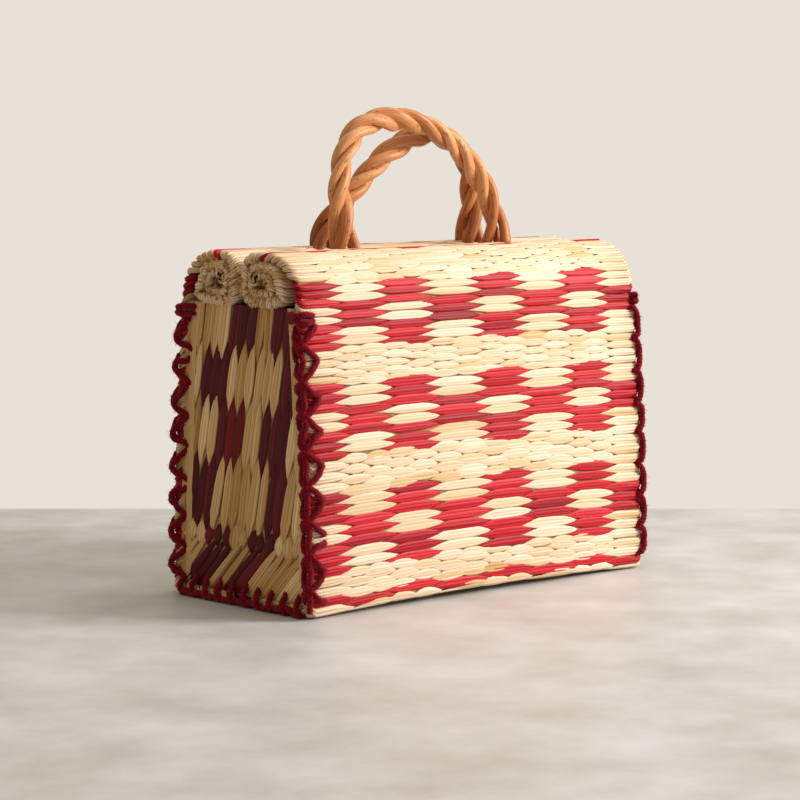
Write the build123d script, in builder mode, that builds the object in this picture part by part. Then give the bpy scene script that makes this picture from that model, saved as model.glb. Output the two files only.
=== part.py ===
from build123d import *
from math import atan2, cos, degrees, floor, pi, sin
import os

# A small box bag woven from reed, in millimetres.
# X runs along the bag, Y from its front to its back and Z up. The origin is on the
# ground, under the middle of the bag.

# The long mat, which is the front, the bottom and the back in one piece
mat_length = 280.0
body_depth = 131.5
mat_thickness = 5.6
fold_path = 177.1        # up the wall from the ground to the fold of a flap
top_inset = 9.4          # how far a wall leans in at the fold
corner_radius = 2.0
inside_radius = 3.0

# The weave: reeds run along the bag and pass over and under hidden cross reeds
pick_pitch = 4.45        # one reed bundle over, the next one under
reed_relief = 1.6        # from the crest of a reed down to the hollow beside it
core_depth = 2.5         # crests down to the plain middle of a mat
core_bite = 0.8          # how far plain reeds are let into that middle
first_pick = 2.1         # up the wall to the lowest reed
selvage_column = 29.6
inner_columns = 6
reed_clearance = 0.1     # round each dyed reed

# The dyed reeds: a stripe at the ground, three checked bands and a line on each flap
stripe_picks = (1, 2)
band_starts = (6, 20, 34)
band_picks = (1, 3, 4, 6, 7, 9)
line_picks = (49, 50)

# The end panels, woven the other way up and set in between the walls
panel_thickness = 5.2
panel_recess = 3.0       # from the ends of the long mat
panel_top = 178.5
panel_clearance = 0.3
panel_lean = 0.2         # the upright reeds lean towards the back on their way down
panel_rows = (34.0, 44.0, 83.0, 118.0, 150.0)
panel_red_picks = (2, 4, 5, 7, 13, 15, 17, 18, 20)

# The flaps, which curve over the shoulder and end in a roll at the middle of the bag
lid_height = 210.0
shoulder_radius = 30.0
fold_gap = 0.3
middle_gap = 1.0
roll_width = 30.0
roll_height = 30.0
roll_corner = 10.0
roll_slit = 0.8
stick_diameter = 7.0
stick_clearance = 0.3

# The handles, three twisted willow rods each
rod_diameter = 5.9
rod_ring = 3.9           # from the middle of the rope to the middle of a rod
rod_sides = 6
twist_pitch = 56.0
slack_twist = 0.45       # the twist at the feet, as a share of that along the arch
rod_sections = 26
foot_spread = 3.2        # the rods part by this much more at the feet
foot_stretch = 30.0
rod_depth = 9.0          # how far a rod goes down into the roll
rod_clearance = 0.3
handle_foot_offset = 13.5  # from the middle plane of the bag, at the feet of an arch
handle_top_offset = 7.4    # and at its top

# The routes of the two handles above the lid: along the bag and up
front_route = ((-70, 0), (-68, 45), (-52, 70), (-18, 78), (22, 68), (48, 41), (58, 0))
back_route = ((-63, 0), (-53, 21), (-28, 47), (12, 67), (42, 60), (58, 34), (60, 0))

# The woollen stitches that join the mats at each end
yarn_width = 2.6
yarn_height = 2.0
yarn_clearance = 0.2
yarn_reach = 8.0         # along the wall from its end
stitch_pitch = 12.1
lowest_stitch = 12.0
highest_stitch = 170.0
seam_reach = 1.6         # past the inside of the wall, on the panel

# Worked out from the sizes above
half_length = mat_length / 2
half_depth = body_depth / 2
wall_radius = (fold_path**2 + top_inset**2) / (2 * top_inset)
fold_angle = fold_path / wall_radius
fold_y = -half_depth + wall_radius * (1 - cos(fold_angle))
fold_z = wall_radius * sin(fold_angle)
shoulder_run = (lid_height - fold_z - shoulder_radius * (1 - sin(fold_angle))) / cos(fold_angle)
shoulder_turn = pi / 2 - fold_angle
shoulder_path = fold_path + shoulder_run
crown_path = shoulder_path + shoulder_radius * shoulder_turn
shoulder_y = fold_y + shoulder_run * sin(fold_angle)
shoulder_z = fold_z + shoulder_run * cos(fold_angle)
crown_y = shoulder_y + shoulder_radius * cos(fold_angle)
roll_y = -middle_gap / 2 - roll_width / 2
roll_z = lid_height - roll_height / 2
turn_y = -middle_gap / 2 - roll_corner
lid_path = crown_path + turn_y - crown_y
inner_column = (mat_length - 2 * selvage_column) / inner_columns
column_widths = (selvage_column, *[inner_column] * inner_columns, selvage_column)
column_starts = [-half_length + sum(column_widths[:count]) for count in range(len(column_widths))]
wall_red_picks = {start + pick for start in band_starts for pick in band_picks}
wall_red_picks = wall_red_picks.union(stripe_picks, line_picks)


def wall_point(path, depth):
    """A place on the front wall: path up from the ground, depth below the crests."""
    angle = path / wall_radius
    across = -half_depth + wall_radius - (wall_radius - depth) * cos(angle)
    return (across, (wall_radius - depth) * sin(angle))


def flap_point(path, depth):
    """A place on the front flap, whose path goes on from that of the wall."""
    if path <= shoulder_path:
        run = path - fold_path
        across = fold_y + run * sin(fold_angle) + depth * cos(fold_angle)
        return (across, fold_z + run * cos(fold_angle) - depth * sin(fold_angle))
    if path <= crown_path:
        heading = fold_angle + (path - shoulder_path) / shoulder_radius
        centre_y = shoulder_y + shoulder_radius * cos(fold_angle)
        centre_z = shoulder_z - shoulder_radius * sin(fold_angle)
        reach = shoulder_radius - depth
        return (centre_y - reach * cos(heading), centre_z + reach * sin(heading))
    return (crown_y + path - crown_path, lid_height - depth)


def weave_depth(path, column):
    """Depth of the woven surface: the reeds shown in one column are hidden in the next."""
    phase = (path / pick_pitch - 0.5 + column) % 2
    return reed_relief * min(phase, 2 - phase)


def weave_runs(start, end, column, red_picks):
    """Stretches of one colour along a column, as (start, end, is it dyed)."""
    runs = []
    pick = floor(start / pick_pitch) - 1
    pick += (pick + column + 1) % 2
    while (pick - 1.5) * pick_pitch < end:
        low = max(start, (pick - 1.5) * pick_pitch)
        high = min(end, (pick + 0.5) * pick_pitch)
        dyed = pick in red_picks
        if runs and runs[-1][2] == dyed:
            runs[-1] = (runs[-1][0], high, dyed)
        elif high > low + reed_clearance * 4:
            runs.append((low, high, dyed))
        pick += 2
    return runs


def reed_outline(place, run, column, curved=True):
    """Outline of the reeds in a run, with their hollows, down to the middle of the mat."""
    start, end, dyed = run
    depth = core_depth - reed_clearance if dyed else core_depth + core_bite
    if dyed:
        start = start + reed_clearance
        end = end - reed_clearance
    marks = [start]
    mark = (floor(start / pick_pitch - 0.5) + 1.5) * pick_pitch
    while mark < end - reed_clearance / 2:
        if mark > start + reed_clearance / 2:
            marks.append(mark)
        mark += pick_pitch
    marks.append(end)
    crests = [place(mark, weave_depth(mark, column)) for mark in marks]
    if not curved:
        marks = [start, end]
    return crests + [place(mark, depth) for mark in reversed(marks)]


def wall_place(path, depth):
    """The wall's reeds are counted from the first pick."""
    return wall_point(path + first_pick, depth)


def flap_place(path, depth):
    """The flap's reeds are counted on from those of the wall."""
    return flap_point(path + first_pick, depth)


def mirrored(outline):
    """The same outline on the back of the bag."""
    return [(-across, up) for across, up in outline]


def wall_runs(column):
    return weave_runs(0, fold_path - first_pick, column, wall_red_picks)


def flap_runs(column):
    start = fold_path - first_pick + fold_gap
    return weave_runs(start, lid_path - first_pick, column, wall_red_picks)


os.makedirs("parts", exist_ok=True)

# The long mat
with BuildPart() as body_mat:
    with BuildSketch(Plane.YZ.offset(-half_length)):
        with BuildLine():
            outer_top = wall_point(fold_path, core_depth)
            outer_foot = wall_point(first_pick, core_depth)
            inner_top = wall_point(fold_path, mat_thickness)
            inner_foot = wall_point(mat_thickness + inside_radius, mat_thickness)
            middle_path = (fold_path + first_pick) / 2
            floor_start = (inner_foot[0] + inside_radius, mat_thickness)
            ground_start = (-half_depth + corner_radius, 0)
            Line((0, mat_thickness), floor_start)
            RadiusArc(floor_start, inner_foot, inside_radius)
            ThreePointArc(inner_foot, wall_point(middle_path, mat_thickness), inner_top)
            Line(inner_top, outer_top)
            ThreePointArc(outer_top, wall_point(middle_path, core_depth), outer_foot)
            Line(outer_foot, (-half_depth, outer_foot[1]))
            Line((-half_depth, outer_foot[1]), (-half_depth, corner_radius))
            RadiusArc((-half_depth, corner_radius), ground_start, -corner_radius)
            Line(ground_start, (0, 0))
            mirror(about=Plane.YZ)
        make_face()
    extrude(amount=mat_length)
    for column, start in enumerate(column_starts):
        with BuildSketch(Plane.YZ.offset(start)):
            for run in wall_runs(column):
                if not run[2]:
                    outline = reed_outline(wall_place, run, column)
                    Polygon(*outline, align=None)
                    Polygon(*mirrored(outline), align=None)
        extrude(amount=column_widths[column])
body_mat.part.label = "body_mat"
export_step(body_mat.part, "parts/body_mat.step")

# The dyed reeds of the front wall, and the same again on the back
with BuildPart() as front_red_reeds:
    for column, start in enumerate(column_starts):
        with BuildSketch(Plane.YZ.offset(start + reed_clearance)):
            for run in wall_runs(column):
                if run[2]:
                    Polygon(*reed_outline(wall_place, run, column, curved=False), align=None)
        extrude(amount=column_widths[column] - 2 * reed_clearance)
front_red_reeds.part.label = "front_red_reeds"
export_step(front_red_reeds.part, "parts/front_red_reeds.step")

with BuildPart() as back_red_reeds:
    add(mirror(front_red_reeds.part, about=Plane.XZ))
back_red_reeds.part.label = "back_red_reeds"
export_step(back_red_reeds.part, "parts/back_red_reeds.step")


# Woven flap, as on the front: a curved sheet that ends in a roll
with BuildPart() as flap_mat:
    with BuildSketch(Plane.YZ.offset(-half_length)):
        with BuildLine():
            sheet_start = fold_path + fold_gap
            shoulder_middle = (shoulder_path + crown_path) / 2
            underside = lid_height - mat_thickness
            core_start = flap_point(sheet_start, core_depth)
            core_shoulder = flap_point(shoulder_path, core_depth)
            core_crown = flap_point(crown_path, core_depth)
            lining_start = flap_point(sheet_start, mat_thickness)
            lining_shoulder = flap_point(shoulder_path, mat_thickness)
            lining_crown = flap_point(crown_path, mat_thickness)
            Line(lining_start, core_start)
            Line(core_start, core_shoulder)
            ThreePointArc(core_shoulder, flap_point(shoulder_middle, core_depth), core_crown)
            Line(core_crown, (turn_y, core_crown[1]))
            Line((turn_y, core_crown[1]), (turn_y, underside))
            Line((turn_y, underside), lining_crown)
            ThreePointArc(lining_crown, flap_point(shoulder_middle, mat_thickness), lining_shoulder)
            Line(lining_shoulder, lining_start)
        make_face()
        with Locations((roll_y, roll_z)):
            RectangleRounded(roll_width, roll_height, roll_corner)
        with Locations(((turn_y + crown_y - shoulder_radius) / 2, lid_height)):
            Rectangle(turn_y - crown_y + shoulder_radius, 2 * core_depth, mode=Mode.SUBTRACT)
    extrude(amount=mat_length)
    for column, start in enumerate(column_starts):
        with BuildSketch(Plane.YZ.offset(start)):
            for run in flap_runs(column):
                if not run[2]:
                    Polygon(*reed_outline(flap_place, run, column), align=None)
        extrude(amount=column_widths[column])
    with BuildSketch(Plane.YZ.offset(-half_length)):
        turn_width = roll_width - 2 * mat_thickness
        turn_height = roll_height - 2 * mat_thickness
        turn_corner = roll_corner - mat_thickness
        with Locations((roll_y, roll_z)):
            RectangleRounded(turn_width, turn_height, turn_corner)
            RectangleRounded(
                turn_width - 2 * roll_slit,
                turn_height - 2 * roll_slit,
                turn_corner - roll_slit,
                mode=Mode.SUBTRACT,
            )
        with Locations((roll_y - turn_width / 2, roll_z + turn_height / 4)):
            Rectangle(2 * turn_corner, turn_height / 2, mode=Mode.SUBTRACT)
        with Locations((roll_y - roll_width / 4, underside - roll_slit / 2)):
            Rectangle(roll_width / 2, roll_slit)
        with Locations((roll_y, roll_z)):
            Circle(stick_diameter / 2 + stick_clearance)
    extrude(amount=mat_length, mode=Mode.SUBTRACT)


def handle_arch(route, side):
    """Middle line of a handle, whose arch leans to the middle plane; side is -1 in front."""
    rise = max(height for _, height in route)
    lean = (handle_foot_offset - handle_top_offset) / rise
    points = [(along, side * (handle_foot_offset - lean * up), lid_height + up) for along, up in route]
    with BuildLine() as arch:
        Spline(*points, tangents=[(0, 0, 1), (0, 0, -1)])
    return arch.edges()[0]


def turns_at(share, length):
    """Turns of the twist up to a share of an arch. It slackens towards the feet."""
    feet = min(foot_stretch / length, 0.5)
    near_start = min(share, feet)
    near_end = max(share - 1 + feet, 0)
    slack = (1 - slack_twist) * (near_start - near_start**2 / (2 * feet) + near_end**2 / (2 * feet))
    return (share - slack) * length / twist_pitch


def rod_places(arch, rod):
    """Places along one rod of a handle, which winds round the arch from foot to foot."""
    places = []
    for section in range(rod_sections + 1):
        share = section / rod_sections
        along = arch % share
        outward = (Vector(0, 1, 0) - along * along.Y).normalized()
        sideways = along.cross(outward)
        angle = 2 * pi * (turns_at(share, arch.length) + rod / 3)
        nearest_foot = min(share, 1 - share) * arch.length
        spread = foot_spread * max(0, 1 - nearest_foot / foot_stretch) ** 2
        reach = rod_ring + spread
        places.append(arch @ share + (outward * cos(angle) + sideways * sin(angle)) * reach)
    sunk = Vector(0, 0, -rod_depth)
    return [places[0] + sunk, *places, places[-1] + sunk]


def rod_planes(places):
    """Planes across a rod, which turn no more than they must from one to the next."""
    planes = []
    across = Vector(0, 1, 0)
    for index, place in enumerate(places):
        if index < 2:
            heading = Vector(0, 0, 1)
        elif index > len(places) - 3:
            heading = Vector(0, 0, -1)
        else:
            heading = (places[index + 1] - places[index - 1]).normalized()
        across = (across - heading * across.dot(heading)).normalized()
        planes.append(Plane(origin=place, x_dir=across, z_dir=heading))
    return planes


# The flaps with their holes for the rods, and the handles
front_arch = handle_arch(front_route, -1)
back_arch = handle_arch(back_route, 1)
front_rods = [rod_planes(rod_places(front_arch, rod)) for rod in range(3)]
back_rods = [rod_planes(rod_places(back_arch, rod)) for rod in range(3)]
hole_floor = lid_height - rod_depth - rod_clearance
hole_height = lid_height - hole_floor + mat_thickness


def rod_feet(rods):
    """The holes for the feet of a handle, drawn where they end in the roll."""
    with BuildSketch(Plane.XY.offset(hole_floor)) as feet:
        for planes in rods:
            for foot in (planes[0], planes[-1]):
                turn = degrees(atan2(foot.x_dir.Y, foot.x_dir.X))
                with Locations((foot.origin.X, foot.origin.Y)):
                    RegularPolygon(rod_diameter / 2 + rod_clearance, rod_sides, rotation=turn)
    return feet.sketch


with BuildPart() as front_flap:
    add(flap_mat.part)
    extrude(rod_feet(front_rods), amount=hole_height, mode=Mode.SUBTRACT)
front_flap.part.label = "front_flap"
export_step(front_flap.part, "parts/front_flap.step")

with BuildPart() as back_flap:
    add(mirror(flap_mat.part, about=Plane.XZ))
    extrude(rod_feet(back_rods), amount=hole_height, mode=Mode.SUBTRACT)
back_flap.part.label = "back_flap"
export_step(back_flap.part, "parts/back_flap.step")

for side, rods in (("front", front_rods), ("back", back_rods)):
    for number, planes in enumerate(rods, start=1):
        with BuildPart() as rod:
            for plane in planes:
                with BuildSketch(plane):
                    RegularPolygon(rod_diameter / 2, rod_sides)
            loft(ruled=True)
        rod.part.label = f"{side}_handle_rod_{number}"
        export_step(rod.part, f"parts/{side}_handle_rod_{number}.step")

with BuildPart() as front_flap_red_reeds:
    for column, start in enumerate(column_starts):
        with BuildSketch(Plane.YZ.offset(start + reed_clearance)):
            for run in flap_runs(column):
                if run[2]:
                    Polygon(*reed_outline(flap_place, run, column), align=None)
        extrude(amount=column_widths[column] - 2 * reed_clearance)
front_flap_red_reeds.part.label = "front_flap_red_reeds"
export_step(front_flap_red_reeds.part, "parts/front_flap_red_reeds.step")

with BuildPart() as back_flap_red_reeds:
    add(mirror(front_flap_red_reeds.part, about=Plane.XZ))
back_flap_red_reeds.part.label = "back_flap_red_reeds"
export_step(back_flap_red_reeds.part, "parts/back_flap_red_reeds.step")

# The sticks in the rolls
with BuildPart() as front_stick:
    with BuildSketch(Plane.YZ.offset(-half_length)):
        with Locations((roll_y, roll_z)):
            Circle(stick_diameter / 2)
    extrude(amount=mat_length)
front_stick.part.label = "front_stick"
export_step(front_stick.part, "parts/front_stick.step")

with BuildPart() as back_stick:
    add(mirror(front_stick.part, about=Plane.XZ))
back_stick.part.label = "back_stick"
export_step(back_stick.part, "parts/back_stick.step")

# The end panels. A row is the stretch of upright reed between two cross reeds.
panel_floor = mat_thickness + panel_clearance
panel_bounds = (panel_floor, *panel_rows, panel_top)
panel_face = -half_length + panel_recess


def panel_place(path, depth):
    """A place on the left panel, seen from above, before its row is leaned."""
    return (panel_face + depth, -half_depth + path)


def panel_row_runs(row):
    """Where the reeds of one row run, and how far the row has leaned to the back."""
    middle = (panel_bounds[row] + panel_bounds[row + 1]) / 2
    drift = panel_lean * (panel_top - middle)
    return drift, weave_runs(-drift, body_depth - drift, row, panel_red_picks)


with BuildSketch(Plane.YZ.offset(panel_face)) as panel_shape:
    with BuildLine():
        panel_edge = mat_thickness + panel_clearance
        edge_top = wall_point(panel_top, panel_edge)
        edge_middle = wall_point((panel_top + panel_floor) / 2, panel_edge)
        edge_foot = wall_point(panel_floor + inside_radius, panel_edge)
        foot_y = edge_foot[0] + inside_radius
        Line((0, panel_floor), (foot_y, panel_floor))
        Line((foot_y, panel_floor), edge_foot)
        ThreePointArc(edge_foot, edge_middle, edge_top)
        Line(edge_top, (0, edge_top[1]))
        mirror(about=Plane.YZ)
    make_face()

with BuildPart() as left_panel:
    with BuildSketch(Plane.YZ.offset(panel_face + core_depth)):
        with Locations((0, (panel_floor + panel_top) / 2)):
            Rectangle(body_depth, panel_top - panel_floor)
    extrude(amount=panel_thickness - core_depth)
    for row in range(len(panel_bounds) - 1):
        drift, runs = panel_row_runs(row)
        with BuildSketch(Plane.XY.offset(panel_bounds[row])):
            for run in runs:
                if not run[2]:
                    outline = reed_outline(panel_place, run, row, curved=False)
                    outline = [(along, across + drift) for along, across in outline]
                    Polygon(*outline, align=None)
        extrude(amount=panel_bounds[row + 1] - panel_bounds[row])
    extrude(panel_shape.sketch, amount=panel_thickness, mode=Mode.INTERSECT)
left_panel.part.label = "left_panel"
export_step(left_panel.part, "parts/left_panel.step")

with BuildPart() as left_panel_red_reeds:
    for row in range(len(panel_bounds) - 1):
        drift, runs = panel_row_runs(row)
        with BuildSketch(Plane.XY.offset(panel_bounds[row] + reed_clearance)):
            for run in runs:
                if run[2]:
                    outline = reed_outline(panel_place, run, row, curved=False)
                    outline = [(along, across + drift) for along, across in outline]
                    Polygon(*outline, align=None)
        extrude(amount=panel_bounds[row + 1] - panel_bounds[row] - 2 * reed_clearance)
    extrude(panel_shape.sketch, amount=panel_thickness, mode=Mode.INTERSECT)
left_panel_red_reeds.part.label = "left_panel_red_reeds"
export_step(left_panel_red_reeds.part, "parts/left_panel_red_reeds.step")

with BuildPart() as right_panel:
    add(mirror(left_panel.part, about=Plane.YZ))
right_panel.part.label = "right_panel"
export_step(right_panel.part, "parts/right_panel.step")

with BuildPart() as right_panel_red_reeds:
    add(mirror(left_panel_red_reeds.part, about=Plane.YZ))
right_panel_red_reeds.part.label = "right_panel_red_reeds"
export_step(right_panel_red_reeds.part, "parts/right_panel_red_reeds.step")

# The stitches: each is a loop of yarn round the end of the long mat, into the panel
yarn_near = -half_length - yarn_clearance
yarn_far = yarn_near - yarn_height
yarn_panel = panel_face - yarn_clearance
stitch_count = floor((highest_stitch - lowest_stitch) / stitch_pitch) + 1
foot_count = floor((body_depth - 2 * lowest_stitch) / stitch_pitch) + 1

with BuildPart() as left_front_seam:
    for stitch in range(stitch_count):
        height = lowest_stitch + stitch * stitch_pitch
        face = wall_point(height - yarn_width / 2, 0)[0] - yarn_clearance
        seam = wall_point(height, mat_thickness)[0] + seam_reach
        with BuildSketch(Plane.XY.offset(height - yarn_width / 2)):
            Polygon(
                (-half_length + yarn_reach, face),
                (yarn_near, face),
                (yarn_near, seam),
                (yarn_panel, seam),
                (yarn_panel, seam + yarn_height),
                (yarn_far, seam + yarn_height),
                (yarn_far, face - yarn_height),
                (-half_length + yarn_reach, face - yarn_height),
                align=None,
            )
        extrude(amount=yarn_width)

with BuildPart() as left_foot_seam:
    top = mat_thickness + seam_reach + yarn_height
    for stitch in range(foot_count):
        place = (stitch - (foot_count - 1) / 2) * stitch_pitch
        with BuildSketch(Plane.XZ.offset(-place - yarn_width / 2)):
            Polygon(
                (yarn_near, 2 * yarn_clearance),
                (yarn_far, 2 * yarn_clearance),
                (yarn_far, top),
                (yarn_panel, top),
                (yarn_panel, top - yarn_height),
                (yarn_near, top - yarn_height),
                align=None,
            )
        extrude(amount=yarn_width)

seams = {
    "left_front_stitches": left_front_seam.part,
    "left_back_stitches": mirror(left_front_seam.part, about=Plane.XZ),
    "left_foot_stitches": left_foot_seam.part,
    "right_front_stitches": mirror(left_front_seam.part, about=Plane.YZ),
    "right_back_stitches": mirror(mirror(left_front_seam.part, about=Plane.XZ), about=Plane.YZ),
    "right_foot_stitches": mirror(left_foot_seam.part, about=Plane.YZ),
}
for name, seam in seams.items():
    seam.label = name
    export_step(seam, f"parts/{name}.step")
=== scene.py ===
"""Looks of the woven reed box bag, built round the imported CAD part."""

import bpy
import math
from collections import namedtuple
from itertools import product
import numpy as np
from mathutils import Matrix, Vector


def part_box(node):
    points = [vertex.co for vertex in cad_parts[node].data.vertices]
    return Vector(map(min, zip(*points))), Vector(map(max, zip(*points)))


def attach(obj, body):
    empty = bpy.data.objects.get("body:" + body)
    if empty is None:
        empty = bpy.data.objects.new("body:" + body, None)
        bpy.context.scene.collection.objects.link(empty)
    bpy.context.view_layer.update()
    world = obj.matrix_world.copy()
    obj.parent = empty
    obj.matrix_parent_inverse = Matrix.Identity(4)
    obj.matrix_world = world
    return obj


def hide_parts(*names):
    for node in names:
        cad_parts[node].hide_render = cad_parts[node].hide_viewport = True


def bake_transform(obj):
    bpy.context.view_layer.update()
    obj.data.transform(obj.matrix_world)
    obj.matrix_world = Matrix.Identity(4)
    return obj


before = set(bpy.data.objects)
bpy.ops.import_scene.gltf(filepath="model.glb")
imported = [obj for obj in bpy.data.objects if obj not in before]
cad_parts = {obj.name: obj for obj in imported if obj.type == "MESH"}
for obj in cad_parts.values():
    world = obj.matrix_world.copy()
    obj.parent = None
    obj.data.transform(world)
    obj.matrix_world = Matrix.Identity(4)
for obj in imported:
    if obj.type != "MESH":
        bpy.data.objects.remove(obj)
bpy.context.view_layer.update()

# Sizes are in millimetres, and become metres when a mesh is made
MM = 0.001
rng = np.random.default_rng(11)

# The mat, with the same form as in the CAD source
mat_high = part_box("body_mat")[1]
lid_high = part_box("front_flap")[1]
half_length = mat_high.x / MM
half_depth = mat_high.y / MM
lid_height = lid_high.z / MM
fold_path = 177.1
top_inset = 9.4
shoulder_radius = 30.0
ground_radius = 4.0
mat_thickness = 5.6
middle_gap = 1.0
blend_reach = 12.0  # of the fold, up and down the mat
bow = 3.4  # the lowest rows are higher at the middle by this much
bow_paths = (-5, 55, 115, 175, 205)
bow_shares = (1.0, 1.0, 0.4, 0.3, 0.0)

# The roll at the edge of each flap
roll_width = 36.0  # fuller than the solid, as it is soft
roll_height = 36.0
roll_slump = 1.1  # the roll is wider towards the wall at its bottom, as a share
roll_turns = 2.3
roll_pull = 5.6  # the roll's line comes in by this much in one turn
roll_squareness = 3.2
first_turn = 151.6  # of the mat, once round the roll
inner_layer = 0.75  # how thick the mat is inside the roll, as a share
thinning = 6.0  # it thins over this much of its length, either way
cut_reach = 8.0  # here the reeds change from turned round to cut off

# The weave: lines of the hidden cross reeds, and zones of picks from the ground up
warp_lines = (-140.0, -112.0, -77.5, -40.5, -0.3, 36.3, 75.0, 108.5, 140.0)
half_lines = [(left + right) / 2 for left, right in zip(warp_lines[1:-2], warp_lines[2:-1])]
fine_lines = tuple(sorted([*warp_lines, *half_lines]))  # of the plain rows
zones = (
    ("plain", 1, 4.3),
    ("red", 2, 5.7),
    ("plain", 5, 14.8),
    ("band", 15, 44.9),
    ("plain", 7, 22.0),
    ("band", 15, 42.0),
    ("plain", 9, 21.2),
    ("band", 15, 38.2),
    ("plain", 10, 32.6),
    ("red", 2, 4.8),
)
roll_pick = 2.9
bottom_pick = 3.3

# The bundles, of three reeds each. The slim tip is on the left and the blunt one on the right.
reeds_in_bundle = 3
tip_overlap = 7.5
fine_overlap = 6.2
fine_taper_reach = 5.4  # in place of the overlap, as short floats have short tips
left_taper = 2.1  # as a share of the overlap
right_taper = 2.9
least_width = 0.03  # at the very tip, as a share
tip_depth = 2.1
left_sink = 0.45  # of the tip's depth
right_sink = 1.1
tip_tilt = 0.28  # how far the tips lean down the mat, in picks
float_arch = 0.3  # the middle of a float is higher than its ends by this much
edge_drop = 0.42
reed_relief = 0.24
most_rise = 0.4  # no reed is higher than this over the crests
crest_sink = 0.3  # and then all of them lie this much lower
core_depth = 2.1

# Where the reeds go round the outermost cross reed at both ends of the mat
turn_radius = 3.6
turn_climb = 2  # picks
turn_painted_shade = 0.17  # painted shade: darker and browner there, as on the shaded ends of the bag
inside_stop = 2.0  # they end this far from the next cross reed
end_reach = 22.0
end_relief = 0.5  # the grooves are deeper
end_drop = 1.5  # and each bundle stands out from its neighbours

# How uneven the bundles are. The values with reed in their name are drawn for every reed.
Style = namedtuple(
    "Style", "ends width wander slant fill rise reed_rise shade shade_spread reed_spread"
)
mat_style = Style(
    ends=0.9, width=0.05, wander=0.18, slant=0.35, fill=1.03,
    rise=0.1, reed_rise=0.09, shade=0.62, shade_spread=0.09, reed_spread=0.09,
)
panel_style = Style(
    ends=0.8, width=0.08, wander=0.45, slant=1.2, fill=1.04,
    rise=0.2, reed_rise=0.12, shade=0.55, shade_spread=0.14, reed_spread=0.098,
)
# Painted shade: the end panels' red is much darker than the walls' red, as the ends lie in shade
dyed_panel_painted_shade_style = panel_style._replace(shade=0.04, shade_spread=0.05, reed_spread=0.035)
shade_limits = (0.02, 0.98)
grain_room = 900  # every bundle takes its grain from its own place in a large noise
grain_along = 0.045
grain_across = 1.9
core_grain = 0.05

wall_radius = (fold_path**2 + top_inset**2) / (2 * top_inset)
fold_angle = fold_path / wall_radius


def wall_line(path):
    """Where the outer line of the front wall is, this far up it."""
    angle = path / wall_radius
    return -half_depth + wall_radius * (1 - np.cos(angle)), wall_radius * np.sin(angle)


fold_y, fold_z = wall_line(fold_path)
shoulder_rise = lid_height - fold_z - shoulder_radius * (1 - math.sin(fold_angle))
shoulder_run = shoulder_rise / math.cos(fold_angle)
shoulder_y = fold_y + shoulder_run * math.sin(fold_angle)
shoulder_z = fold_z + shoulder_run * math.cos(fold_angle)
roll_y = -middle_gap / 2 - roll_width / 2
roll_z = lid_height - roll_height / 2


def mat_line(step=0.4):
    """Outer line of the front half of the mat, from the middle of the bottom into the roll."""
    ground = -half_depth + ground_radius
    turn = np.linspace(math.pi / 2, math.pi, 16)
    pieces = [
        (np.array([0.0, ground / 2]), np.zeros(2)),
        (ground + ground_radius * np.cos(turn), ground_radius - ground_radius * np.sin(turn)),
        wall_line(np.arange(ground_radius + step, fold_path, step)),
        (np.array([fold_y, shoulder_y]), np.array([fold_z, shoulder_z])),
    ]
    heading = np.linspace(fold_angle, math.pi / 2, 60)[1:]
    centre_y = shoulder_y + shoulder_radius * math.cos(fold_angle)
    centre_z = shoulder_z - shoulder_radius * math.sin(fold_angle)
    pieces.append((
        centre_y - shoulder_radius * np.cos(heading),
        centre_z + shoulder_radius * np.sin(heading),
    ))
    angle = np.linspace(math.pi / 2, math.pi / 2 - 2 * math.pi * roll_turns, 260)
    pull = roll_pull * (math.pi / 2 - angle) / (2 * math.pi)
    power = 2 / roll_squareness
    across = (roll_width / 2 - pull) * np.sign(np.cos(angle)) * np.abs(np.cos(angle)) ** power
    up = (roll_height / 2 - pull) * np.sign(np.sin(angle)) * np.abs(np.sin(angle)) ** power
    across = across * np.where(across < 0, 1 + roll_slump * (0.5 - up / roll_height), 1)
    pieces.append((roll_y + across, roll_z + up))
    y = np.concatenate([piece[0] for piece in pieces])
    z = np.concatenate([piece[1] for piece in pieces])
    run = np.concatenate([[0], np.cumsum(np.hypot(np.diff(y), np.diff(z)))])
    even = np.arange(0, run[-1], step)
    y, z = np.interp(even, run, y), np.interp(even, run, z)
    from_ground = np.where(y > ground, math.inf, np.abs(z - ground_radius))
    wall_start = even[np.argmin(from_ground)]
    return even - wall_start + ground_radius, y, z


line_s, line_y, line_z = mat_line()
smooth = np.ones(7) / 7
slope_y = np.convolve(np.gradient(line_y, line_s), smooth, "same")
slope_z = np.convolve(np.gradient(line_z, line_s), smooth, "same")
slope_y[:4], slope_z[:4] = -1.0, 0.0
slope_y[-4:], slope_z[-4:] = slope_y[-5], slope_z[-5]
slope_size = np.hypot(slope_y, slope_z)
inward_y, inward_z = slope_z / slope_size, -slope_y / slope_size
roll_start = line_s[np.argmax((line_s > fold_path) & (line_y >= roll_y))]
mat_end = line_s[-1]
roll_once = roll_start + first_turn


def end_turn(x, depth):
    """A reed past the outermost cross reed goes round it and back along the inside."""
    reach = half_length - turn_radius
    far = np.abs(x)
    angle = np.clip((far - reach) / turn_radius, 0, math.pi)
    past = np.maximum(far - reach - math.pi * turn_radius, 0)
    size = turn_radius - depth
    turned_x = np.sign(x) * (np.minimum(far, reach) + size * np.sin(angle) - past)
    return turned_x, turn_radius - size * np.cos(angle)


def cut_end(x, depth):
    """In the roll the reeds are cut off square at the end instead."""
    far = np.abs(x)
    past = np.maximum(far - half_length, 0)
    inner = np.maximum(past - mat_thickness, 0)
    cut_x = np.sign(x) * (np.minimum(far, half_length) - inner)
    return cut_x, depth + np.minimum(past, mat_thickness)


def lift(x, s):
    """The rows bow: highest at the middle of the bag, and more so near the ground."""
    return bow * (1 - (x / half_length) ** 2) * np.interp(s, bow_paths, bow_shares)


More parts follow.
